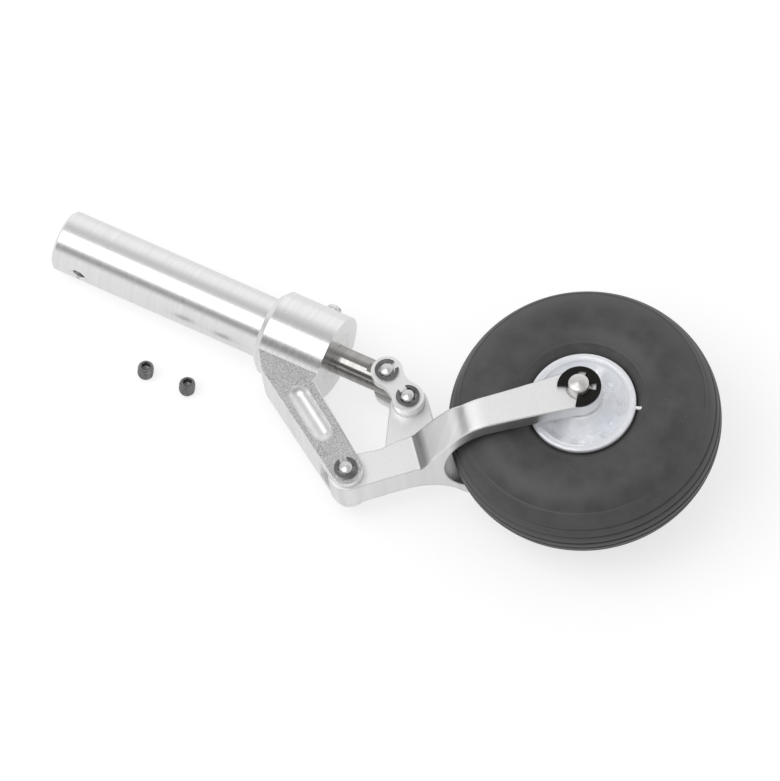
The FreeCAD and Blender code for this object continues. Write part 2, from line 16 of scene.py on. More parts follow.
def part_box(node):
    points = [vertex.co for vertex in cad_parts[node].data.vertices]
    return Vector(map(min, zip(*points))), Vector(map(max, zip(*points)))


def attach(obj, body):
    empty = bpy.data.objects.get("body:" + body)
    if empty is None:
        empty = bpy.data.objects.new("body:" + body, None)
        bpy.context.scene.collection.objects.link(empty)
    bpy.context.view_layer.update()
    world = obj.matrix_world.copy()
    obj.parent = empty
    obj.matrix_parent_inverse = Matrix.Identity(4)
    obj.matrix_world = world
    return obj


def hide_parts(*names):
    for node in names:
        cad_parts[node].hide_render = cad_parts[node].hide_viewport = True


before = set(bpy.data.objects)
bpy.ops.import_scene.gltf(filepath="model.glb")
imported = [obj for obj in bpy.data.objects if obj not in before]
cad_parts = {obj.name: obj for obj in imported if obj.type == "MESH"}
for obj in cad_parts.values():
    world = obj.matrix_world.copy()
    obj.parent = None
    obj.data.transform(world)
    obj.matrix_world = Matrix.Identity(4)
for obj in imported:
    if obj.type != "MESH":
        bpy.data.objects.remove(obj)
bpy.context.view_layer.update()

mm = 0.001

# %% [markdown]
# Helpers for node trees. A material or a group is a list of nodes and of links between their
# sockets, so short functions that add a node and join two sockets keep each finish readable.

# %% Node helpers
def add(tree, kind, inputs=None, **settings):
    """One node of a tree, with its settings and the values or links of its inputs."""
    node = tree.nodes.new(kind)
    for key, value in settings.items():
        setattr(node, key, value)
    for key, value in (inputs or {}).items():
        if isinstance(value, bpy.types.NodeSocket):
            tree.links.new(value, node.inputs[key])
        else:
            node.inputs[key].default_value = value
    return node


def math_node(tree, operation, *values):
    """The result of one Math node."""
    return add(tree, "ShaderNodeMath", dict(enumerate(values)), operation=operation).outputs[0]


def vector_math(tree, operation, *values, result="Vector"):
    """The result of one Vector Math node."""
    return add(tree, "ShaderNodeVectorMath", dict(enumerate(values)),
               operation=operation).outputs[result]


# %% [markdown]
# A real finish is seldom one flat value. A noise mixes two colours, or moves the roughness between
# two limits. Blender's noise stays mostly between 0.3 and 0.7, so that middle is stretched first.

# %% Mixing helpers
def between(tree, factor, first, second):
    """A value between two others."""
    return add(tree, "ShaderNodeMix", {0: factor, 2: first, 3: second}).outputs[0]


def mixed(tree, factor, first, second):
    """A colour between two others."""
    return add(tree, "ShaderNodeMix", {0: factor, 6: first, 7: second},
               data_type="RGBA").outputs[2]


def spread(tree, value, low, high, start=0.3, end=0.7):
    """A noise value stretched between two limits."""
    return add(tree, "ShaderNodeMapRange", {"Value": value, "From Min": start, "From Max": end,
                                            "To Min": low, "To Max": high}).outputs["Result"]


def grey(level, warm=0.0):
    """A grey, made a little warmer or cooler."""
    return (level * (1 + warm), level, level * (1 - warm), 1)


print("a warm grey", grey(0.5, 0.02))

# %% [markdown]
# A node group is a tree of its own with sockets on its outside. Its sockets are made on the
# tree's interface, each with a kind and, for an input, a value to start from.

# %% Group helper
def new_group(name, kind, inputs, outputs):
    """A node group with named sockets, and its input and output nodes."""
    tree = bpy.data.node_groups.new(name, kind)
    for socket, (form, default) in inputs.items():
        made = tree.interface.new_socket(socket, in_out="INPUT", socket_type="NodeSocket" + form)
        if default is not None:
            made.default_value = default
    for socket, form in outputs.items():
        tree.interface.new_socket(socket, in_out="OUTPUT", socket_type="NodeSocket" + form)
    return tree, tree.nodes.new("NodeGroupInput"), tree.nodes.new("NodeGroupOutput")


# %% [markdown]
# Metal hardly has a colour of its own: what tells a turned tube from a blasted plate is how the
# surface scatters a reflection. Each texture below is a shader node group, built once and placed
# in every material that needs it, so that one change to a group reaches all of them.
# The first group is grain, as bead blasting or a mould leaves it: a fine noise for the bump, the
# same noise stretched to a fleck mask, and a slow cloud for patches of colour and roughness.

# %% Grain group: blasted or moulded texture
grain, grain_in, grain_out = new_group(
    "surface_grain", "ShaderNodeTree",
    {"Vector": ("Vector", None), "Size": ("Float", 0.25 * mm)},
    {"Height": "Float", "Fleck": "Float", "Cloud": "Float"})
frequency = math_node(grain, "DIVIDE", 1.0, grain_in.outputs["Size"])
coarse = math_node(grain, "MULTIPLY", frequency, 0.06)
fine_noise = add(grain, "ShaderNodeTexNoise", {"Vector": grain_in.outputs["Vector"],
                                               "Scale": frequency, "Detail": 1.0})
cloud_noise = add(grain, "ShaderNodeTexNoise", {"Vector": grain_in.outputs["Vector"],
                                                "Scale": coarse, "Detail": 3.0})
grain.links.new(fine_noise.outputs["Fac"], grain_out.inputs["Height"])
grain.links.new(spread(grain, fine_noise.outputs["Fac"], 0.0, 1.0), grain_out.inputs["Fleck"])
grain.links.new(cloud_noise.outputs["Fac"], grain_out.inputs["Cloud"])
print("group", grain.name)

# %% [markdown]
# The second group is lines, as a lathe or a mill leaves them. The Object coordinates are
# stretched hard across the lines, so a plain noise turns into long thin streaks.

# %% Line group: turning and milling marks
lines, lines_in, lines_out = new_group(
    "cutter_lines", "ShaderNodeTree",
    {"Vector": ("Vector", None), "Across": ("Vector", (5000, 60, 60))},
    {"Height": "Float", "Streak": "Float"})
stretched = vector_math(lines, "MULTIPLY", lines_in.outputs["Vector"], lines_in.outputs["Across"])
wider = vector_math(lines, "MULTIPLY", stretched, (0.12, 0.12, 0.12))
line_noise = add(lines, "ShaderNodeTexNoise", {"Vector": stretched, "Scale": 1.0, "Detail": 3.0})
streak_noise = add(lines, "ShaderNodeTexNoise", {"Vector": wider, "Scale": 1.0, "Detail": 2.0})
lines.links.new(line_noise.outputs["Fac"], lines_out.inputs["Height"])
lines.links.new(streak_noise.outputs["Fac"], lines_out.inputs["Streak"])
print("group", lines.name)

# %% [markdown]
# The third group is rings, as facing the end of a pin in a lathe leaves them. The distance from
# the pin's axis goes into a one-dimensional noise, so every ring has its own height. Fine rings
# scatter light only outwards from the axis, which gives a turned end its bright spokes.

# %% Ring group: faced ends
rings, rings_in, rings_out = new_group(
    "faced_rings", "ShaderNodeTree",
    {"Vector": ("Vector", None), "Centre": ("Vector", (0, 0, 0)), "Pitch": ("Float", 0.1 * mm)},
    {"Height": "Float", "Streak": "Float"})
offset = vector_math(rings, "SUBTRACT", rings_in.outputs["Vector"], rings_in.outputs["Centre"])
flat = vector_math(rings, "MULTIPLY", offset, (1, 1, 0))
radius = vector_math(rings, "LENGTH", flat, result="Value")
count = math_node(rings, "DIVIDE", radius, rings_in.outputs["Pitch"])
ring_noise = add(rings, "ShaderNodeTexNoise", {"W": count, "Scale": 1.0, "Detail": 1.0},
                 noise_dimensions="1D")
slow_count = math_node(rings, "MULTIPLY", count, 0.2)
slow_ring = add(rings, "ShaderNodeTexNoise", {"W": slow_count, "Scale": 1.0, "Detail": 1.0},
                noise_dimensions="1D")
rings.links.new(ring_noise.outputs["Fac"], rings_out.inputs["Height"])
rings.links.new(slow_ring.outputs["Fac"], rings_out.inputs["Streak"])
print("group", rings.name)

# %% [markdown]
# One function makes each metal. It mixes two colours by a slow noise, spreads the roughness
# between two values by the same noise, and feeds the fine noise to a Bump node.

# %% Metal finishes
def start_material(name):
    """An empty material, its tree, its Principled shader and its Object coordinates."""
    material = bpy.data.materials.new(name)
    material.use_nodes = True
    tree = material.node_tree
    place = add(tree, "ShaderNodeTexCoord").outputs["Object"]
    return material, tree, tree.nodes["Principled BSDF"], place


def texture(tree, group, place, **values):
    """A texture group placed in a material with its own values."""
    node = add(tree, "ShaderNodeGroup", node_tree=group)
    tree.links.new(place, node.inputs["Vector"])
    for key, value in values.items():
        node.inputs[key].default_value = value
    return node


def darker(colour, share):
    """A colour at a share of its brightness."""
    return tuple(share * v for v in colour[:3]) + (1,)


def feed(tree, shader, colour, roughness, height, depth):
    """Link a colour, a roughness and a bump to a Principled shader; returns the Bump node."""
    tree.links.new(colour, shader.inputs["Base Color"])
    tree.links.new(roughness, shader.inputs["Roughness"])
    bump = add(tree, "ShaderNodeBump", {"Height": height, "Distance": depth})
    tree.links.new(bump.outputs["Normal"], shader.inputs["Normal"])
    return bump


def metal(name, colours, rough, depth, group=grain, fleck=0.0, **values):
    """A metal whose colour, roughness and bump vary with one texture group."""
    material, tree, shader, place = start_material(name)
    shader.inputs["Metallic"].default_value = 1.0
    marks = texture(tree, group, place, **values)
    slow = marks.outputs["Cloud" if group == grain else "Streak"]
    colour = mixed(tree, spread(tree, slow, 0.0, 1.0), *colours)
    if fleck:
        colour = mixed(tree, marks.outputs["Fleck"], darker(colours[0], fleck), colour)
    feed(tree, shader, colour, spread(tree, slow, *rough), marks.outputs["Height"], depth)
    return material


# %% [markdown]
# Each metal is a pair of greys, a pair of roughness values and a depth for the bump. The tube and
# the rod were turned, so their lines run round X, and the small turned parts have lines round Y
# or Z. The clips are dark because they were phosphated or oiled, and the screws because they were
# blackened.

# %% Metals
turned_tube = metal("turned_aluminium", (grey(0.88), grey(0.82)), (0.27, 0.35), 0.004 * mm,
                    group=lines, Across=(7000, 60, 60))
ground_rod = metal("ground_steel", (grey(0.42, 0.03), grey(0.34, 0.03)), (0.10, 0.18), 0.002 * mm,
                   group=lines, Across=(5000, 80, 80))
turned_steel = metal("turned_steel", (grey(0.88, 0.01), grey(0.80, 0.01)), (0.26, 0.36),
                     0.003 * mm, group=lines, Across=(300, 4000, 4000))
dark_clip = metal("phosphated_steel", (grey(0.34), grey(0.16)), (0.18, 0.30), 0.012 * mm,
                  Size=0.2 * mm)
black_clip = metal("black_spring_steel", (grey(0.035, 0.04), grey(0.022, 0.04)), (0.30, 0.42),
                   0.004 * mm, Size=0.2 * mm)
black_screw = metal("black_oxide_steel", (grey(0.38), grey(0.26)), (0.36, 0.5), 0.010 * mm,
                    fleck=0.5, Size=0.3 * mm)
bronze = metal("bronze", ((0.62, 0.44, 0.22, 1), (0.5, 0.35, 0.17, 1)), (0.3, 0.42), 0.003 * mm,
               Size=0.2 * mm)
print("metals", [m.name for m in bpy.data.materials])

# %% [markdown]
# The yoke is milled from bar, then its flat fork plates are bead blasted, while the turned boss,
# the bevelled edges and the end face keep their cutter shine. Two materials with a seam between
# them would need the mesh cut up, so one material holds both finishes and masks say where each
# goes. On a flat plate the normal points straight along Z, so the normal's Z is the first mask.
# The pocket in a fork plate lies deeper than the plate's face, so the height tells it apart.

# %% Masks for plates and pockets
upward_least = 0.3      # normal's Z above which a face counts as open to the top or the bottom


def steepness(tree):
    """How straight a face looks up or down: the size of its normal's Z."""
    normal = add(tree, "ShaderNodeTexCoord").outputs["Normal"]
    facing = add(tree, "ShaderNodeSeparateXYZ", {0: normal}).outputs["Z"]
    return math_node(tree, "ABSOLUTE", facing)


def plate_and_pocket(tree, place, steep, below, above):
    """Masks for a fork plate's face and for the pocket in it."""
    _, y, z = add(tree, "ShaderNodeSeparateXYZ", {0: place}).outputs
    plate = math_node(tree, "LESS_THAN", y, below)
    face = math_node(tree, "GREATER_THAN", math_node(tree, "ABSOLUTE", z), above)
    open_up = math_node(tree, "GREATER_THAN", steep, upward_least)
    sunk = math_node(tree, "SUBTRACT", open_up, face)
    return math_node(tree, "MULTIPLY", plate, face), math_node(tree, "MULTIPLY", plate, sunk)


# %% [markdown]
# Both finishes are worked out everywhere, and the mask picks one of them for the colour, the
# roughness and the bump alike. Blasting has a coarse grain with dark flecks between its bright
# ones. A pocket keeps the dull finish of a ball-nosed cutter.

# %% Two finishes in one material
def two_finish(name, blasted, smooth, band=(0.90, 0.985), depth=0.03 * mm, size=0.2 * mm,
               across=(5000, 60, 60), below=None, above=None, hollow_rough=0.42, fleck=0.62,
               edge=0.0):
    """Blasted flats and a bright rest; each has (colours, roughness).

    Where below is given, only faces with Y under it and height over above are blasted."""
    material, tree, shader, place = start_material(name)
    shader.inputs["Metallic"].default_value = 1.0
    steep = steepness(tree)
    mask = add(tree, "ShaderNodeMapRange", {"Value": steep, "From Min": band[0],
                                            "From Max": band[1]}).outputs["Result"]
    hollow = None
    if below is not None:
        plate, hollow = plate_and_pocket(tree, place, steep, below, above)
        mask = math_node(tree, "MULTIPLY", mask, plate)
    rough_grain = texture(tree, grain, place, Size=size)
    cut = texture(tree, lines, place, Across=across)
    (first, second), rough = blasted
    (shine, dull), slick = smooth
    flat_colour = mixed(tree, spread(tree, rough_grain.outputs["Cloud"], 0.0, 1.0), first, second)
    flat_colour = mixed(tree, rough_grain.outputs["Fleck"], darker(first, fleck), flat_colour)
    cut_colour = mixed(tree, spread(tree, cut.outputs["Streak"], 0.0, 1.0), shine, dull)
    colour = mixed(tree, mask, cut_colour, flat_colour)
    flat_rough = spread(tree, rough_grain.outputs["Cloud"], *rough)
    cut_rough = spread(tree, cut.outputs["Streak"], *slick)
    roughness = between(tree, mask, cut_rough, flat_rough)
    if hollow:
        roughness = between(tree, hollow, roughness, hollow_rough)
    fine = math_node(tree, "MULTIPLY", cut.outputs["Height"], 0.05)
    height = between(tree, mask, fine, rough_grain.outputs["Height"])
    bump = feed(tree, shader, colour, roughness, height, depth)
    if edge:
        rounded = add(tree, "ShaderNodeBevel", {"Radius": edge}, samples=6)
        tree.links.new(rounded.outputs["Normal"], bump.inputs["Normal"])
    return material


# %% [markdown]
# The yoke's blasting is coarse and sparkles. The arm and the links are finely blasted, so they
# look like satin, and a Bevel node rounds the arm's edges in the shading, as tumbling does.

# %% Yoke, arm and links
plates_below = -8.3 * mm      # Y under which the yoke is fork plate and no longer boss
plate_face = 6.35 * mm        # just under the height of a fork plate's face
blasted_yoke = two_finish("blasted_yoke", ((grey(0.95), grey(0.86)), (0.26, 0.38)),
                          ((grey(0.90), grey(0.82)), (0.23, 0.31)), below=plates_below,
                          above=plate_face, depth=0.055 * mm, size=0.28 * mm, fleck=0.45)
satin_arm = two_finish("satin_arm", ((grey(0.98), grey(0.93)), (0.46, 0.58)),
                       ((grey(0.88), grey(0.80)), (0.28, 0.38)), depth=0.010 * mm,
                       size=0.35 * mm, fleck=0.92, edge=0.7 * mm)
satin_link = two_finish("satin_link", ((grey(0.97), grey(0.91)), (0.42, 0.52)),
                        ((grey(0.90), grey(0.82)), (0.22, 0.32)), depth=0.008 * mm, fleck=0.95)
print("yoke, arm and links have two finishes each")

# %% [markdown]
# The arm steps up from its thick block to its two legs over a hollow bend. A round-nosed cutter
# leaves the bend, and its smooth groove mirrors the dark end of the workshop as a stripe across
# the arm. Here that stripe is a painted reflection: a dark grey painted into the arm's colour,
# placed by its distance from the pivot pin, measured towards the axle, and kept to the faces
# that slope.

# %% Direction of the arm
def box(name):
    """The low and the high corner of a node's box."""
    return [Vector(corner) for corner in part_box(name)]


def centre(name):
    """The middle of a node's box."""
    low, high = box(name)
    return (low + high) / 2


pivot = centre("pivot_pin")
along = centre("axle") - pivot
along.z = 0
along.normalize()
print("arm from", tuple(round(v / mm, 2) for v in pivot), "along",
      tuple(round(v, 3) for v in along))

# %% [markdown]
# The stripe, a painted reflection, is the product of three masks: past the start of the bend,
# before its end, and on a sloping face. It mixes a dark grey, the painted reflection, over the
# colour that the shader already has.

# %% Painted reflection in the arm's bend
tree = satin_arm.node_tree
shader = tree.nodes["Principled BSDF"]
place = add(tree, "ShaderNodeTexCoord").outputs["Object"]
offset = vector_math(tree, "SUBTRACT", place, pivot)
run = vector_math(tree, "DOT_PRODUCT", offset, along, result="Value")
bend_start, bend_end = (16.9 * mm, 17.3 * mm), (18.7 * mm, 20.3 * mm)
# masks that place the painted reflection along the bend
start = spread(tree, run, 0.0, 1.0, *bend_start)
stop = spread(tree, run, 1.0, 0.0, *bend_end)
painted_reflection = math_node(tree, "MULTIPLY", start, stop)
steep = steepness(tree)
tilted = spread(tree, steep, 1.0, 0.0, 0.97, 0.998)
upward = math_node(tree, "GREATER_THAN", steep, upward_least)
sloping = math_node(tree, "MULTIPLY", tilted, upward)
painted_reflection = math_node(tree, "MULTIPLY", painted_reflection, sloping)
plain = shader.inputs["Base Color"].links[0].from_socket
# painted reflection: a dark grey mixed into the arm's base colour along the bend
tree.links.new(mixed(tree, painted_reflection, plain, grey(0.34)), shader.inputs["Base Color"])
print("bend stripe from", bend_start[0] / mm, "to", round(bend_end[1] / mm, 1), "mm")

# %% [markdown]
# Each pin is turned and parted off, so its end shows fine rings about its own axis. The axis
# comes from the pin's box in the frame, and the ring group measures its distance from there.

# %% Faced ends of pins and axle
def faced(name, node, colours, rough, pitch, depth):
    """A turned pin, with rings about its own axis on its ends."""
    return metal(name, colours, rough, depth, group=rings, Centre=centre(node), Pitch=pitch)


pin_names = ("pivot_pin", "rod_pin", "lug_pin")
pin_finish = {name: faced("turned_" + name, name, (grey(0.80), grey(0.66)), (0.30, 0.42),
                          0.12 * mm, 0.010 * mm) for name in pin_names}
axle_finish = faced("turned_axle", "axle", (grey(0.74, 0.02), grey(0.64, 0.02)), (0.36, 0.46),
                    0.16 * mm, 0.010 * mm)
print("turned pins", pin_names)

# %% [markdown]
# The tyre is a solid-looking black rubber that dust greys a little, and the hub is a moulded
# nylon with a pearly shine. Both scatter light inside, so neither is a metal: the rubber is a
# rough dielectric, and the hub's shine is a clear coat over a pale base.

# %% Rubber and plastic
def soft_finish(name, colours, rough, size, depth, lumps=0.0, dust=None, **sockets):
    """A rubber or plastic with grain; lumps adds a slow swell, dust is the colour of specks."""
    material, tree, shader, place = start_material(name)
    marks = texture(tree, grain, place, Size=size)
    cloud = spread(tree, marks.outputs["Cloud"], 0.0, 1.0)
    colour = mixed(tree, cloud, *colours)
    if dust:
        specks = texture(tree, grain, place, Size=0.6 * mm).outputs["Height"]
        colour = mixed(tree, spread(tree, specks, 0.0, 1.0, 0.76, 0.82), colour, dust)
    swell = math_node(tree, "MULTIPLY", marks.outputs["Cloud"], lumps)
    height = math_node(tree, "ADD", marks.outputs["Height"], swell)
    feed(tree, shader, colour, spread(tree, marks.outputs["Cloud"], *rough), height, depth)
    for key, value in sockets.items():
        shader.inputs[key.replace("_", " ")].default_value = value
    return material


tyre_rubber = soft_finish("tyre_rubber", (grey(0.052, 0.01), grey(0.078, 0.01)), (0.40, 0.54),
                          0.3 * mm, 0.014 * mm, lumps=2.0, dust=grey(0.16))
hub_plastic = soft_finish("pearl_nylon", ((0.88, 0.90, 0.95, 1), (0.95, 0.965, 0.99, 1)),
                          (0.20, 0.30), 0.35 * mm, 0.017 * mm, lumps=40.0, Metallic=0.12,
                          Coat_Weight=0.8, Coat_Roughness=0.12)
print("rubber and nylon")

# %% [markdown]
# The nodes of the frame are real parts, and each gets the finish that its maker gave it. Only the
# material in a slot changes here. The meshes stay as they are, and a part that is grown again
# further down still has its finish listed, in case someone looks at the frame's own piece.

# %% Give each node of the frame its finish
finishes = {
    "strut_tube": turned_tube, "yoke": blasted_yoke, "yoke_clamp_screw": turned_steel,
    "rod_bush": turned_steel, "spring": dark_clip, "spring_seat": turned_steel,
    "pivot_pin_clips": dark_clip, "loose_set_screws": black_screw,
    "piston_rod": ground_rod, "piston": turned_steel,
    "rod_pin_clips": dark_clip, "link_plate_near": satin_link, "link_plate_far": satin_link,
    "trailing_arm": satin_arm, "arm_bush": bronze,
    "lug_pin_clips": dark_clip, "axle": axle_finish, "axle_clips": black_clip,
    "axle_washers": turned_steel, "tyre": tyre_rubber, "hub": hub_plastic, "hub_bush": bronze,
    **pin_finish,
}
for name, material in finishes.items():
    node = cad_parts[name]
    for slot in node.material_slots:
        slot.material = material
print("finished", len(finishes), "of", len(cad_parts), "nodes")

# %% [markdown]
# The tyre, the hub, the pins and the set screws are all turned forms: a section spun round an
# axis. On the real parts a mould or a lathe does it, and here Curve to Mesh does, with the
# section as its profile and a small circle as its path. The tree is a group that all these pieces
# share. The section is drawn with the radius along X and the height along Y. A circle of 1 mm
# carries it, so the section is first moved in by that 1 mm. Poles on the axis are then merged.

# %% Lathe group
lathe, lathe_in, lathe_out = new_group(
    "lathe", "GeometryNodeTree",
    {"Section": ("Geometry", None), "Segments": ("Int", 96)},
    {"Mesh": "Geometry"})
inward = add(lathe, "GeometryNodeTransform", {"Geometry": lathe_in.outputs["Section"],
                                              "Translation": (-mm, 0, 0), "Scale": (1, -1, 1)})
profile = add(lathe, "GeometryNodeMeshToCurve", {"Mesh": inward.outputs["Geometry"]})
path = add(lathe, "GeometryNodeCurvePrimitiveCircle", {"Resolution": lathe_in.outputs["Segments"],
                                                       "Radius": mm})
spun = add(lathe, "GeometryNodeCurveToMesh", {"Curve": path.outputs["Curve"],
                                              "Profile Curve": profile.outputs["Curve"]})
merged = add(lathe, "GeometryNodeMergeByDistance", {"Geometry": spun.outputs["Mesh"],
                                                    "Distance": 0.002 * mm})
lathe.links.new(merged.outputs["Geometry"], lathe_out.inputs["Mesh"])


def spin(tree, inside):
    """The lathe group placed in a tree, fed by the tree's own Section and Segments."""
    values = {key: inside.outputs[key] for key in ("Section", "Segments")}
    return add(tree, "GeometryNodeGroup", values, node_tree=lathe).outputs["Mesh"]


print("group", lathe.name)

# %% [markdown]
# A spun form is round in places and has crisp edges in others. Each edge is shaded smooth unless
# its two faces meet at more than a limit, given in radians.

# %% Shading by angle
def smooth_by_angle(tree, mesh, limit):
    """Shade a mesh smooth, except over edges sharper than a limit."""
    smooth = add(tree, "GeometryNodeSetShadeSmooth", {"Geometry": mesh, "Shade Smooth": True})
    angle = add(tree, "GeometryNodeInputMeshEdgeAngle").outputs["Unsigned Angle"]
    sharp = add(tree, "FunctionNodeCompare", {"A": angle, "B": limit}, operation="GREATER_THAN")
    return add(tree, "GeometryNodeSetShadeSmooth",
               {"Geometry": smooth.outputs[0], "Selection": sharp.outputs["Result"],
                "Shade Smooth": False}, domain="EDGE").outputs[0]


# %% [markdown]
# A section is a list of points of radius and height. Arcs through three points are enough for
# swollen rubber, and a part that is the same above and below needs only half of its points.

# %% Sections
def arc(first, through, last, steps):
    """Points on the circle from the first point through the second, without the last."""
    (ax, ay), (bx, by), (cx, cy) = first, through, last
    span = 2 * (ax * (by - cy) + bx * (cy - ay) + cx * (ay - by))
    a2, b2, c2 = ax * ax + ay * ay, bx * bx + by * by, cx * cx + cy * cy
    ux = (a2 * (by - cy) + b2 * (cy - ay) + c2 * (ay - by)) / span
    uy = (a2 * (cx - bx) + b2 * (ax - cx) + c2 * (bx - ax)) / span
    start, middle, end = (math.atan2(y - uy, x - ux) for x, y in (first, through, last))
    turn = (end - start) % math.tau
    if (middle - start) % math.tau > turn:
        turn -= math.tau
    size = math.hypot(ax - ux, ay - uy)
    return [(ux + size * math.cos(start + turn * k / steps),
             uy + size * math.sin(start + turn * k / steps)) for k in range(steps)]


def section_mesh(points, closed=True):
    """A line of edges through points of (radius, height) in millimetres."""
    count = len(points)
    edges = [(k, k + 1) for k in range(count - 1)] + ([(count - 1, 0)] if closed else [])
    mesh = bpy.data.meshes.new("section")
    mesh.from_pydata([(r * mm, z * mm, 0) for r, z in points], edges, [])
    return mesh


def mirrored(points):
    """A half section with its mirror image below, in one clockwise loop."""
    return points + [(r, -z) for r, z in reversed(points)]


# %% [markdown]
# A start mesh goes in, a tree grows the piece, and new_from_object keeps the result as a plain
# mesh. The start object and its modifier are then gone, so nothing is left live on the piece.
# The volume is printed with its sign: above zero, the faces point outwards.

# %% Growing a piece
def new_object(name, data):
    """An object for a mesh, a camera or a lamp, linked into the scene."""
    made = bpy.data.objects.new(name, data)
    bpy.context.scene.collection.objects.link(made)
    return made


def grow(name, start, tree, **values):
    """Run a tree on a start mesh and keep what it makes as a plain object."""
    scratch = new_object("start", start)
    modifier = scratch.modifiers.new(name, "NODES")
    modifier.node_group = tree
    for socket, value in values.items():
        modifier[tree.interface.items_tree[socket.replace("_", " ")].identifier] = value
    depsgraph = bpy.context.evaluated_depsgraph_get()
    mesh = bpy.data.meshes.new_from_object(scratch.evaluated_get(depsgraph), depsgraph=depsgraph)
    mesh.name = name
    bpy.data.objects.remove(scratch)
    piece = new_object(name, mesh)
    solid = bmesh.new()
    solid.from_mesh(mesh)
    volume = solid.calc_volume(signed=True) / mm ** 3
    solid.free()
    print(name, len(mesh.polygons), "faces,", round(volume, 1), "mm3")
    return piece


# %% [markdown]
# Each tree ends alike: the mesh moves to its place, instances become real geometry, and the
# material is set, so that nothing has to be done to the piece by hand.

# %% End of a tree
def finish_tree(tree, inside, outside, mesh):
    """Put the grown mesh at its centre, realize it and give it its material."""
    placed = add(tree, "GeometryNodeTransform", {"Geometry": mesh,
                                                 "Translation": inside.outputs["Centre"]})
    real = add(tree, "GeometryNodeRealizeInstances", {"Geometry": placed.outputs["Geometry"]})
    dressed = add(tree, "GeometryNodeSetMaterial", {"Geometry": real.outputs["Geometry"],
                                                    "Material": inside.outputs["Finish"]})
    tree.links.new(dressed.outputs["Geometry"], outside.inputs["Piece"])


# %% [markdown]
# A rule on a round part is easiest in polar form: how far a point is from the axis, and at which
# angle. A smooth step then turns a distance into a soft mask.

# %% Fields on a round part
def polar(tree):
    """Radius, angle and height of each point round the Z axis."""
    place = add(tree, "GeometryNodeInputPosition").outputs["Position"]
    x, y, z = add(tree, "ShaderNodeSeparateXYZ", {0: place}).outputs
    squares = [math_node(tree, "MULTIPLY", v, v) for v in (x, y)]
    total = math_node(tree, "ADD", squares[0], squares[1])
    radius = math_node(tree, "SQRT", total)
    angle = math_node(tree, "ARCTAN2", y, x)
    return place, radius, angle, z


def ramp(tree, value, low, high, start=0.0, end=1.0):
    """A smooth step between two limits."""
    return add(tree, "ShaderNodeMapRange", {"Value": value, "From Min": low, "From Max": high,
                                            "To Min": start, "To Max": end},
               interpolation_type="SMOOTHSTEP").outputs["Result"]


wheel_low, wheel_high = box("tyre")
wheel_segments = 192
wheel_centre = centre("tyre")
tyre_radius = (wheel_high.x - wheel_low.x) / 2 / mm
tyre_half = (wheel_high.z - wheel_low.z) / 2 / mm
print("tyre radius", round(tyre_radius, 2), "half width", round(tyre_half, 2))

# %% [markdown]
# The tyre's section follows a rule: a bead on the rim, a sidewall that swells to the full width,
# a shoulder, and a crowned tread with evenly spaced grooves. Two raised mould lines run round the
# sidewall, one near the bead and one below the shoulder. The rule gives the points, and the tree
# spins them, so the number of grooves or segments is a matter of one value. The pins use the same
# tree further down.

# %% Tree for a spun form
form_tree, inside, outside = new_group(
    "spun_form", "GeometryNodeTree",
    {"Section": ("Geometry", None), "Segments": ("Int", wheel_segments),
     "Centre": ("Vector", (0, 0, 0)), "Finish": ("Material", None)}, {"Piece": "Geometry"})
spun = smooth_by_angle(form_tree, spin(form_tree, inside), limit=0.7)
finish_tree(form_tree, inside, outside, spun)
print("group", form_tree.name)

# %% [markdown]
# The section goes round clockwise: from the bead up the side wall, over the tread, and back down
# the far side, then round the cavity inside, which holds only air.

# %% Tyre
seat, bulge, shoulder = (13.05, 8.7), (21.0, tyre_half), (30.5, 8.0)      # radius, height
groove_pitch, groove_depth = 2.6, 0.5
mould_lines = ((15.4, 0.22, 0.12), (29.6, 0.28, 0.3))     # radius, width, height
crown_r = ((tyre_radius - shoulder[0]) ** 2 + shoulder[1] ** 2) / (2 * (tyre_radius - shoulder[0]))


def crown(z):
    """Radius of the tread at a height, without grooves."""
    return tyre_radius - crown_r + math.sqrt(crown_r ** 2 - z ** 2)


wall = arc(seat, (15.9, 11.1), bulge, 40) + arc(bulge, (26.6, 11.1), shoulder, 60)
wall = [(r, z + sum(h * math.exp(-((r - at) / w) ** 2) for at, w, h in mould_lines))
        for r, z in wall]
groove_rim = ((0.50, 0.0), (0.36, 0.05), (0.27, 0.42), (0.16, groove_depth))
tread = [(crown(z), z) for z in (8.0, 7.5, 7.0, 6.5, 6.0)]
for k in (2, 1, 0):
    middle = k * groove_pitch
    tread += [(crown(middle + dz) - sink, middle + dz) for dz, sink in groove_rim]
    if k:
        tread += [(crown(middle - dz) - sink, middle - dz) for dz, sink in reversed(groove_rim)]
        tread += [(crown(z), z) for z in (middle - 0.9, middle - 1.3, middle - 1.7)]
bead = [(12.05, 5.9), (12.05, 8.5), (12.2, 8.7)]
cavity = [(r, z) for r, z in reversed(arc((12.05, 5.9), (21.0, 8.7), (27.3, 4.5), 12)[1:])]
cavity = [(29.3, 0.01), (28.9, 2.4), (27.3, 4.5)] + cavity
loop = mirrored(bead + wall + tread)
loop += [(r, -z) for r, z in reversed(cavity)] + cavity
tyre = grow("tyre_moulding", section_mesh(loop), form_tree, Segments=wheel_segments,
            Centre=wheel_centre, Finish=tyre_rubber)
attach(tyre, "wheel")
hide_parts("tyre")

# %% [markdown]
# The hub is one moulding: a stepped flange, a shallow dish, and a boss with a conical foot. Eight
# soft pockets lighten the dish. They follow a rule as well: the cosine of eight times the angle
# says where a pocket is, two ramps on the radius say how far it reaches, and Set Position sinks
# the dish by the product.

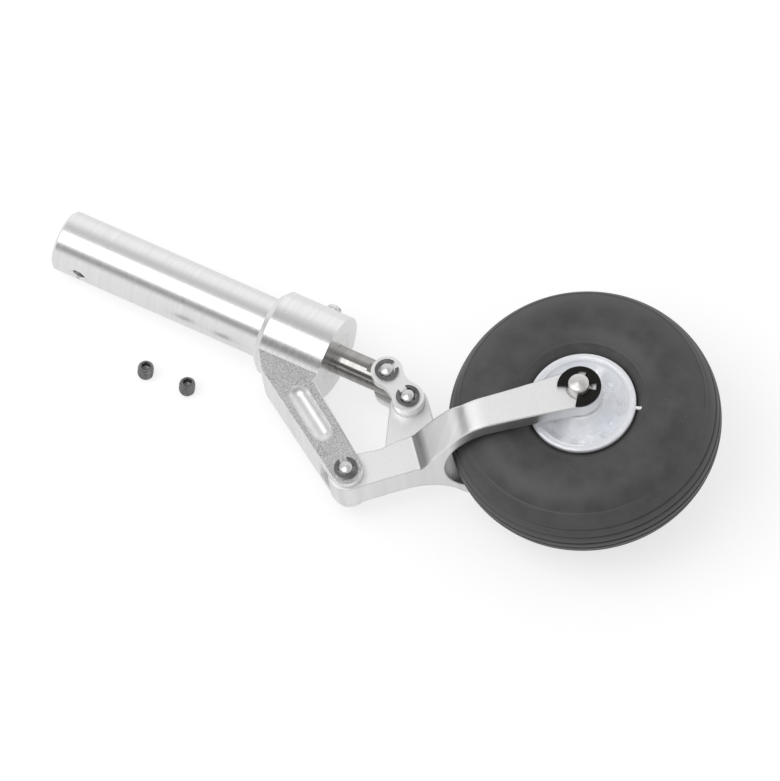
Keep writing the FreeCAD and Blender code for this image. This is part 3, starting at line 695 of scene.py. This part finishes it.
# %% Tree for the hub: pockets
dish_start, dish_end = (7.4 * mm, 8.9 * mm), (9.3 * mm, 11.1 * mm)      # where pockets fade
hub_tree, inside, outside = new_group(
    "hub_mould", "GeometryNodeTree",
    {"Section": ("Geometry", None), "Segments": ("Int", wheel_segments), "Pockets": ("Float", 8.0),
     "First Pocket": ("Float", 0.44), "Pocket Depth": ("Float", 1.7 * mm),
     "Stub Angle": ("Float", 0.35), "Centre": ("Vector", (0, 0, 0)),
     "Finish": ("Material", None)}, {"Piece": "Geometry"})
place, radius, angle, height = polar(hub_tree)
turned = math_node(hub_tree, "SUBTRACT", angle, inside.outputs["First Pocket"])
turned = math_node(hub_tree, "MULTIPLY", turned, inside.outputs["Pockets"])
pocket = ramp(hub_tree, math_node(hub_tree, "COSINE", turned), -0.9, 0.9)
reach = math_node(hub_tree, "MULTIPLY", ramp(hub_tree, radius, *dish_start),
                  ramp(hub_tree, radius, *dish_end, 1.0, 0.0))
sink = math_node(hub_tree, "MULTIPLY", math_node(hub_tree, "MULTIPLY", pocket, reach),
                 inside.outputs["Pocket Depth"])
side = math_node(hub_tree, "MULTIPLY", sink, math_node(hub_tree, "SIGN", height))
drop = add(hub_tree, "ShaderNodeCombineXYZ", {"Z": math_node(hub_tree, "MULTIPLY", side, -1.0)})
inner = math_node(hub_tree, "LESS_THAN", radius, dish_end[1])
sunk = add(hub_tree, "GeometryNodeSetPosition", {"Geometry": spin(hub_tree, inside),
                                                 "Selection": inner,
                                                 "Offset": drop.outputs["Vector"]})
print("pockets from radius", dish_start[0] / mm, "to", round(dish_end[1] / mm, 1), "mm")

# %% [markdown]
# A short stub is left on the rim where the mould was filled. It is a cylinder with a rounded tip,
# laid flat at the rim and then swung round the axis by its own angle.

# %% Tree for the hub: moulding stub
stub_r, tip_r, stub_length = 0.45 * mm, 0.55 * mm, 2.0 * mm
stub_place = (13.3 * mm, 0, 9.6 * mm)
stub = add(hub_tree, "GeometryNodeMeshCylinder", {"Vertices": 16, "Side Segments": 3,
                                                  "Radius": stub_r, "Depth": stub_length})
tip = add(hub_tree, "GeometryNodeMeshUVSphere", {"Segments": 16, "Rings": 8, "Radius": tip_r})
tip = add(hub_tree, "GeometryNodeTransform", {"Geometry": tip.outputs["Mesh"],
                                              "Translation": (0, 0, stub_length / 2)})
stub = add(hub_tree, "GeometryNodeJoinGeometry", {0: stub.outputs["Mesh"]})
hub_tree.links.new(tip.outputs["Geometry"], stub.inputs[0])
laid = add(hub_tree, "GeometryNodeTransform", {"Geometry": stub.outputs["Geometry"],
                                               "Translation": stub_place,
                                               "Rotation": (0, math.radians(90), 0)})
swing = add(hub_tree, "ShaderNodeCombineXYZ", {"Z": inside.outputs["Stub Angle"]})
swung = add(hub_tree, "GeometryNodeTransform", {"Geometry": laid.outputs["Geometry"],
                                                "Rotation": swing.outputs["Vector"]})
whole = add(hub_tree, "GeometryNodeJoinGeometry", {0: sunk.outputs["Geometry"]})
hub_tree.links.new(swung.outputs["Geometry"], whole.inputs[0])
whole = smooth_by_angle(hub_tree, whole.outputs["Geometry"], limit=0.75)
finish_tree(hub_tree, inside, outside, whole)
print("group", hub_tree.name)

# %% [markdown]
# The hub's section runs from the bore out: the face of the boss, its steep foot, the dish in even
# steps so that the pockets have points to move, and the flange with its rounded bead.

# %% Hub
hub_low, hub_high = box("hub")
boss_half = (hub_high.z - hub_low.z) / 2 / mm
half = [(4.05, boss_half), (5.3, boss_half), (5.52, boss_half - 0.08), (5.6, boss_half - 0.3),
        (6.2, 10.6), (6.8, 8.6), (7.05, 7.95), (7.4, 7.5), (7.8, 7.3)]
half += [(8.0 + 0.15 * k, 7.4 + 0.075 * k) for k in range(21)]
half += [(11.15, 9.15), (11.22, 9.6), (11.3, 9.95), (11.42, 10.02), (11.55, 9.98), (11.7, 10.1),
         (11.9, 10.18), (12.3, 10.2), (12.7, 10.18), (12.9, 10.08), (13.0, 9.88), (13.0, 9.15),
         (12.05, 9.12), (12.0, 9.0)]
hub = grow("hub_moulding", section_mesh(mirrored(half)), hub_tree, Segments=wheel_segments,
           Pockets=8.0, First_Pocket=math.radians(25), Pocket_Depth=1.7 * mm,
           Stub_Angle=math.radians(20), Centre=wheel_centre, Finish=hub_plastic)
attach(hub, "wheel")
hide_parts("hub")

# %% [markdown]
# The three linkage pins and the axle are turned from bar: a plain middle, a groove for each clip,
# and a stub beyond it that ends in a shallow cone. Their sections go through the same lathe, so
# the cones and the grooves are real shape, and each cone mirrors the room differently all round.

# %% Turned pins and axle
def turned_pin(name, node, clips, thickness, radii, cone, body, finish):
    """A pin along Z in a node's place; radii are those of the stub, journal and groove."""
    stub, journal, groove = radii
    pin_low, pin_high = box(node)
    ring_low, ring_high = box(clips)
    end, top = (pin_high.z - pin_low.z) / 2 / mm, (ring_high.z - ring_low.z) / 2 / mm
    gap = 0.05                 # room beside a clip in its groove
    half = [(0.0, end), (0.12, end - 0.02), (stub - 0.35, end - cone),
            (stub - 0.12, end - cone - 0.12), (stub, end - cone - 0.35),
            (stub, top + gap), (groove, top + gap),
            (groove, top - thickness - gap), (journal - 0.1, top - thickness - gap),
            (journal, top - thickness - gap - 0.12)]
    section = section_mesh(half + [(r, -z) for r, z in reversed(half)], closed=False)
    pin = grow(name, section, form_tree, Segments=64, Centre=centre(node), Finish=finish)
    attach(pin, body)
    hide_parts(node)


for node, body in (("pivot_pin", "strut"), ("rod_pin", "rod"), ("lug_pin", "arm")):
    turned_pin(node + "_turned", node, node + "_clips", thickness=0.6, radii=(1.6, 1.6, 1.2),
               cone=0.3, body=body, finish=pin_finish[node])
axle_clip_thickness = 0.8
turned_pin("axle_turned", "axle", "axle_clips", thickness=axle_clip_thickness,
           radii=(2.5, 3.0, 2.4), cone=0.5, body="arm", finish=axle_finish)

# %% [markdown]
# An E-clip is punched from spring strip. Its outline is a ring with a mouth, three prongs that
# grip the groove, and two windows between them that let it flex. The outline is drawn as a list
# of angles and radii, filled, extruded by the strip's thickness and slightly bevelled.

# %% Outline of an E-clip
def e_clip(outer, window, grip, mouth, mouth_half, window_half):
    """Outline of an E-clip from three radii and three angles in degrees."""
    outline = [(outer, mouth + mouth_half + (360 - 2 * mouth_half) * k / 60) for k in range(61)]
    windows = (mouth - 140, mouth - 220)
    for a in range(mouth - mouth_half, mouth - 361 + mouth_half, -2):
        hole = any(abs(a - middle) <= window_half for middle in windows)
        outline.append((window if hole else grip, a))
    return [(r * math.cos(math.radians(a)), r * math.sin(math.radians(a))) for r, a in outline]


clip_outline = e_clip(outer=5.3, window=4.1, grip=2.45, mouth=246, mouth_half=42, window_half=15)
print("clip outline", len(clip_outline), "points")

# %% [markdown]
# The two clips stand at the ends of the frame's own clips. Only the rims are bevelled: the edges
# that lie flat and turn a right angle.

# %% Axle clips
clip_low, clip_high = box("axle_clips")
clip_mesh = bmesh.new()
for top in (clip_high.z, clip_low.z + axle_clip_thickness * mm):
    ring = [clip_mesh.verts.new((wheel_centre.x + x * mm, wheel_centre.y + y * mm, top))
            for x, y in clip_outline]
    face = clip_mesh.faces.new(ring)
    walls = bmesh.ops.extrude_face_region(clip_mesh, geom=[face])["geom"]
    moved = [v for v in walls if isinstance(v, bmesh.types.BMVert)]
    bmesh.ops.translate(clip_mesh, verts=moved, vec=(0, 0, -axle_clip_thickness * mm))
bmesh.ops.recalc_face_normals(clip_mesh, faces=clip_mesh.faces)
rims = [e for e in clip_mesh.edges if abs(e.calc_face_angle(0) - math.pi / 2) < 0.2
        and abs(e.verts[0].co.z - e.verts[1].co.z) < 1e-7]
bmesh.ops.bevel(clip_mesh, geom=rims, offset=0.08 * mm, segments=2, affect="EDGES")
clips = bpy.data.meshes.new("axle_e_clips")
clip_mesh.to_mesh(clips)
clip_mesh.free()
clips.materials.append(black_clip)
clip_piece = new_object("axle_e_clips", clips)
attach(clip_piece, "arm")
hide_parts("axle_clips")
print("axle clips", len(clips.polygons), "faces")

# %% [markdown]
# The strut lies on the tube's rim, the arm's lower leg and the end of the axle. The bench is the
# plane through those three contacts, so the shadow meets the metal where the real one does.

# %% Where the strut touches the bench
def lowest(name, towards):
    """The lowest vertex of a node, taking the one farthest along a direction if several tie."""
    points = [v.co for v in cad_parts[name].data.vertices]
    bottom = min(p.z for p in points)
    level = [p for p in points if p.z < bottom + 0.02 * mm]
    return max(level, key=lambda p: p.dot(towards)).copy()


x_axis, y_axis = Vector((1, 0, 0)), Vector((0, 1, 0))
rim = lowest("strut_tube", -x_axis)
arm_back, arm_aside = Vector((-0.75, -0.66, 0)), Vector((0.66, -0.75, 0))
knee = lowest("trailing_arm", arm_back + 0.4 * arm_aside)
axle_end = centre("axle")
axle_end.z = box("axle")[0].z
bench_normal = (knee - rim).cross(axle_end - rim).normalized()
bench_normal = bench_normal if bench_normal.z > 0 else -bench_normal
print("bench normal", [round(v, 4) for v in bench_normal])

# %% [markdown]
# The bench is one large square. It lies a hair under the contacts, so that no metal cuts it, and
# it reaches far beyond the camera's view, so that no edge shows.

# %% Bench
bench_mesh = bpy.data.meshes.new("bench")
side = bench_normal.cross(y_axis).normalized()
ahead = bench_normal.cross(side)
hair = 0.02 * mm
middle = (rim + knee + axle_end) / 3 - bench_normal * hair
reach = 2.5                    # metres from the middle to each side
bench_mesh.from_pydata([middle + reach * (a * side + b * ahead)
                        for a, b in ((-1, -1), (1, -1), (1, 1), (-1, 1))], [], [(0, 1, 2, 3)])
bench = new_object("bench", bench_mesh)
if bench_mesh.polygons[0].normal.dot(bench_normal) < 0:
    bench_mesh.flip_normals()
print("bench", reach * 2, "m wide")

# %% [markdown]
# The bench is white paper, yet bright paper would throw light up at the metal and burn it out.
# So it takes little light, and it glows only for the camera and for what metal mirrors. Light
# Path knows which ray is asking. The shadow is what the little light leaves behind. Seen from
# below, the paper is clear.

# %% Bench paper
paper_base, paper_glow, mirrored_share = 0.45, 0.65, 0.72
bench_paper, tree, shader, _ = start_material("bench_paper")
shader.inputs["Base Color"].default_value = grey(paper_base)
shader.inputs["Roughness"].default_value = 0.9
shader.inputs["Specular IOR Level"].default_value = 0.1
rays = add(tree, "ShaderNodeLightPath")
mirrored_part = math_node(tree, "MULTIPLY", rays.outputs["Is Glossy Ray"], mirrored_share)
seen = math_node(tree, "MAXIMUM", rays.outputs["Is Camera Ray"], mirrored_part)
seen = math_node(tree, "MAXIMUM", seen, rays.outputs["Is Transmission Ray"])
lift = math_node(tree, "MULTIPLY", seen, paper_glow)
shader.inputs["Emission Color"].default_value = grey(1.0)
tree.links.new(lift, shader.inputs["Emission Strength"])
clear = add(tree, "ShaderNodeBsdfTransparent")
facing = add(tree, "ShaderNodeNewGeometry")
either = add(tree, "ShaderNodeMixShader", {0: facing.outputs["Backfacing"], 1: shader.outputs[0],
                                           2: clear.outputs[0]})
tree.links.new(either.outputs[0], tree.nodes["Material Output"].inputs["Surface"])
bench_mesh.materials.append(bench_paper)
print("paper glows at", paper_glow)

# %% [markdown]
# One set screw clamps the yoke. Two more come loose with the strut, to hold it on the leg that
# goes into its socket. Each is a headless M4 screw with a hex socket. A thread repeats, so nodes
# make it: the blank's radius shrinks by a triangle wave of height over pitch plus turn, which is
# what a helix is.

# %% Tree for set screws: thread
def scale_radius(tree, mesh, place, factor, selection):
    """Scale the distance from the Z axis of a mesh's selected points."""
    scale = add(tree, "ShaderNodeCombineXYZ", {"X": factor, "Y": factor, "Z": 1.0}).outputs[0]
    return add(tree, "GeometryNodeSetPosition",
               {"Geometry": mesh, "Selection": selection,
                "Position": vector_math(tree, "MULTIPLY", place, scale)}).outputs["Geometry"]


thread_pitch, thread_depth = 0.7 * mm, 0.34 * mm
thread_from = 1.90 * mm        # points farther out than this are thread
screw_tree, inside, outside = new_group(
    "set_screws", "GeometryNodeTree",
    {"Section": ("Geometry", None), "Places": ("Object", None), "Segments": ("Int", 48),
     "Pitch": ("Float", thread_pitch), "Thread Depth": ("Float", thread_depth),
     "Axis": ("Vector", (0, 0, 1)), "Centre": ("Vector", (0, 0, 0)),
     "Finish": ("Material", None)}, {"Piece": "Geometry"})
place, radius, angle, height = polar(screw_tree)
turns = math_node(screw_tree, "ADD",
                  math_node(screw_tree, "DIVIDE", height, inside.outputs["Pitch"]),
                  math_node(screw_tree, "DIVIDE", angle, math.tau))
wave = math_node(screw_tree, "MULTIPLY", math_node(screw_tree, "PINGPONG", turns, 0.5), 2.0)
cut = math_node(screw_tree, "MULTIPLY", wave, inside.outputs["Thread Depth"])
shrink = math_node(screw_tree, "DIVIDE", math_node(screw_tree, "SUBTRACT", radius, cut), radius)
threaded = scale_radius(screw_tree, spin(screw_tree, inside), place, shrink,
                        math_node(screw_tree, "GREATER_THAN", radius, thread_from))
print("thread pitch", thread_pitch / mm, "depth", thread_depth / mm, "mm")

# %% [markdown]
# The socket is spun round, as a drill leaves it, and a broach then makes it a hexagon. Here its
# wall becomes one when the radius is divided by the cosine of the angle from the nearest flat.

# %% Tree for set screws: socket
socket_r, socket_from = 1.1 * mm, 1.0 * mm      # points within the radius and over the height
place, radius, angle, height = polar(screw_tree)
sixth = math.radians(60)
flat = math_node(screw_tree, "SUBTRACT",
                 math_node(screw_tree, "FLOORED_MODULO", angle, sixth), sixth / 2)
widen = math_node(screw_tree, "DIVIDE", 1.0, math_node(screw_tree, "COSINE", flat))
inner = math_node(screw_tree, "MULTIPLY",
                  math_node(screw_tree, "LESS_THAN", radius, socket_r),
                  math_node(screw_tree, "GREATER_THAN", height, socket_from))
socketed = scale_radius(screw_tree, threaded, place, widen, inner)
print("socket within", socket_r / mm, "mm")

# %% [markdown]
# Instance on Points stands one screw on each given point and turns its axis the given way.

# %% Tree for set screws: standing
spots = add(screw_tree, "GeometryNodeObjectInfo", {"Object": inside.outputs["Places"]})
upright = add(screw_tree, "FunctionNodeAlignRotationToVector", {"Vector": inside.outputs["Axis"]},
              axis="Z")
smooth = smooth_by_angle(screw_tree, socketed, limit=0.6)
stood = add(screw_tree, "GeometryNodeInstanceOnPoints", {"Points": spots.outputs["Geometry"],
                                                         "Instance": smooth,
                                                         "Rotation": upright.outputs["Rotation"]})
finish_tree(screw_tree, inside, outside, stood.outputs["Instances"])
print("group", screw_tree.name)

# %% [markdown]
# A screw's section goes from the socket's floor, over the rim and down the thread to the cup
# point. The thread has eight rows of points in each pitch, so that the wave has points to move.

# %% Section of a set screw
thread_r, row = 1.95, 0.0875


def screw_section(length):
    """Points of radius and height for a set screw of a length in millimetres."""
    rows = int((length - 1.3) / row)
    thread = [(thread_r, length - 0.65 - k * row) for k in range(rows + 1)]
    return ([(0.0, length - 1.8), (0.5, length - 1.75), (0.98, length - 1.6), (1.0, length - 1.5),
             (1.0, length - 0.12), (1.12, length), (1.4, length), (1.7, length - 0.3)]
            + thread + [(1.7, 0.25), (1.45, 0.0), (1.0, 0.0), (0.0, 0.5)])


# %% [markdown]
# The tree takes its points from a helper object that carries them as a mesh, and the helper is
# removed again. A screw's own points in the frame tell where its foot is and how long it is.

# %% Standing set screws
def screws(name, feet, axis, length, finish):
    """Set screws that stand on some points along one axis."""
    spots = bpy.data.meshes.new("feet")
    spots.from_pydata([tuple(p) for p in feet], [], [])
    carrier = new_object("feet", spots)
    piece = grow(name, section_mesh(screw_section(length), closed=False), screw_tree,
                 Places=carrier, Segments=48, Pitch=thread_pitch, Thread_Depth=thread_depth,
                 Axis=axis, Centre=(0.0, 0.0, 0.0), Finish=finish)
    bpy.data.objects.remove(carrier)
    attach(piece, "strut")
    return piece


def foot_and_length(points, axis):
    """Where a screw's cup point stands, and the screw's length along its axis."""
    middle = sum(points, Vector()) / len(points)
    along = [p.dot(axis) for p in points]
    return middle + axis * (min(along) - middle.dot(axis)), (max(along) - min(along)) / mm


# %% [markdown]
# The frame holds the two loose screws as one node, so their points are first told apart along
# the tube. They stand upright on the bench, and the clamp screw lies along Y in the yoke.

# %% Set screws
loose_points = [v.co.copy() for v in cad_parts["loose_set_screws"].data.vertices]
split_x = (min(p.x for p in loose_points) + max(p.x for p in loose_points)) / 2
pairs = [foot_and_length([p for p in loose_points if (p.x < split_x) == left], bench_normal)
         for left in (True, False)]
loose = screws("loose_screws", [foot for foot, _ in pairs], bench_normal, pairs[0][1], black_screw)
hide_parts("loose_set_screws")
clamp_points = [v.co.copy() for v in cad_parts["yoke_clamp_screw"].data.vertices]
clamp_foot, clamp_length = foot_and_length(clamp_points, y_axis)
clamp = screws("clamp_screw", [clamp_foot], y_axis, clamp_length, turned_steel)
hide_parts("yoke_clamp_screw")
print("screw lengths", round(pairs[0][1], 2), round(clamp_length, 2))

# %% [markdown]
# Bright metal shows the room more than itself, so the room is designed. Its walls are white up to
# a height, then comes a grey ceiling, and on the near side a dark strip between them, which gives
# the tube its dark band beside the lamp's white one.

# %% Room
world = bpy.data.worlds.new("studio")
world.use_nodes = True
bpy.context.scene.world = world
tree = world.node_tree
background = tree.nodes["Background"]
direction = add(tree, "ShaderNodeTexCoord").outputs["Generated"]
_, across, height = add(tree, "ShaderNodeSeparateXYZ", {0: direction}).outputs


def zones(stops):
    """Brightness of one side of the room by height, from pairs of height and level."""
    ramp_node = add(tree, "ShaderNodeValToRGB", {"Fac": height})
    while len(ramp_node.color_ramp.elements) < len(stops):
        ramp_node.color_ramp.elements.new(0.5)
    for element, (at, level) in zip(ramp_node.color_ramp.elements, stops):
        element.position, element.color = at, grey(level)
    return ramp_node.outputs["Color"]


side = add(tree, "ShaderNodeMapRange", {"Value": across, "From Min": 0.1,
                                        "From Max": 0.4}).outputs[0]
near_side = zones(((0.30, 1.0), (0.42, 0.20), (0.68, 0.20), (0.78, 0.45)))
far_side = zones(((0.56, 1.0), (0.90, 0.46)))
ceiling = mixed(tree, side, near_side, far_side)
print("room", world.name)

# %% [markdown]
# Light Path tells the rays apart. Only glossy rays see the room, the camera sees plain white, and
# matt surfaces get an even light.

# %% What each ray sees
even_light = 0.62
rays = add(tree, "ShaderNodeLightPath")
glossy = math_node(tree, "MULTIPLY", rays.outputs["Is Glossy Ray"], ceiling)
diffuse = math_node(tree, "MULTIPLY", rays.outputs["Is Diffuse Ray"], even_light)
level = math_node(tree, "ADD", glossy, rays.outputs["Is Camera Ray"])
level = math_node(tree, "MAXIMUM", level, rays.outputs["Is Transmission Ray"])
level = math_node(tree, "MAXIMUM", level, diffuse)
tree.links.new(level, background.inputs["Strength"])
background.inputs["Color"].default_value = grey(1.0)
print("even light", even_light)

# %% [markdown]
# The camera stands several metres off with a very long lens, so the picture has almost no
# perspective and every size reads true. Its three axes are written out and made square.

# %% Camera
view_centre = Vector((89.4, -2.0, 0.0)) * mm
view_right = Vector((0.8813, 0.4662, -0.0813)).normalized()
view_up = Vector((-0.3869, 0.8092, 0.4416)).normalized()
view_back = view_right.cross(view_up).normalized()
view_up = view_back.cross(view_right)
view_width = 186.5 * mm

camera_data = bpy.data.cameras.new("camera")
camera_data.sensor_width = 36
camera_data.lens = 1200
distance = view_width * camera_data.lens / camera_data.sensor_width
camera = new_object("camera", camera_data)
camera.matrix_world = (Matrix.Translation(view_centre + view_back * distance)
                       @ Matrix((view_right, view_up, view_back)).transposed().to_4x4())
camera_data.clip_start, camera_data.clip_end = 0.5, 40
bpy.context.scene.camera = camera
print("camera distance", round(distance, 3))

# %% [markdown]
# One soft box hangs over the bench, a little to the near side and to the tube's open end. Its
# size sets the width of the white band along the tube, and its power is kept plain, so a colour
# renders about as written.

# %% Lamp
def soft_box(name, towards, distance, width, length, power):
    """A lamp that looks at the object from a direction, with its length along the tube."""
    light = bpy.data.lights.new(name, "AREA")
    light.shape = "RECTANGLE"
    light.size, light.size_y = length, width
    light.energy = power
    back = towards.normalized()
    across = (x_axis - back * x_axis.dot(back)).normalized()
    turn = Matrix((across, back.cross(across), back)).transposed().to_4x4()
    lamp = new_object(name, light)
    lamp.matrix_world = Matrix.Translation(view_centre + back * distance) @ turn
    lamp.visible_camera = False
    print("lamp", name, width, "by", length, "m")


soft_box("overhead", Vector((-0.27, -0.29, 0.917)), distance=0.9, width=0.60, length=0.8,
         power=2.9)

# %% [markdown]
# The view transform Standard shows colours as they are written.

# %% View settings
bpy.context.scene.view_settings.view_transform = "Standard"
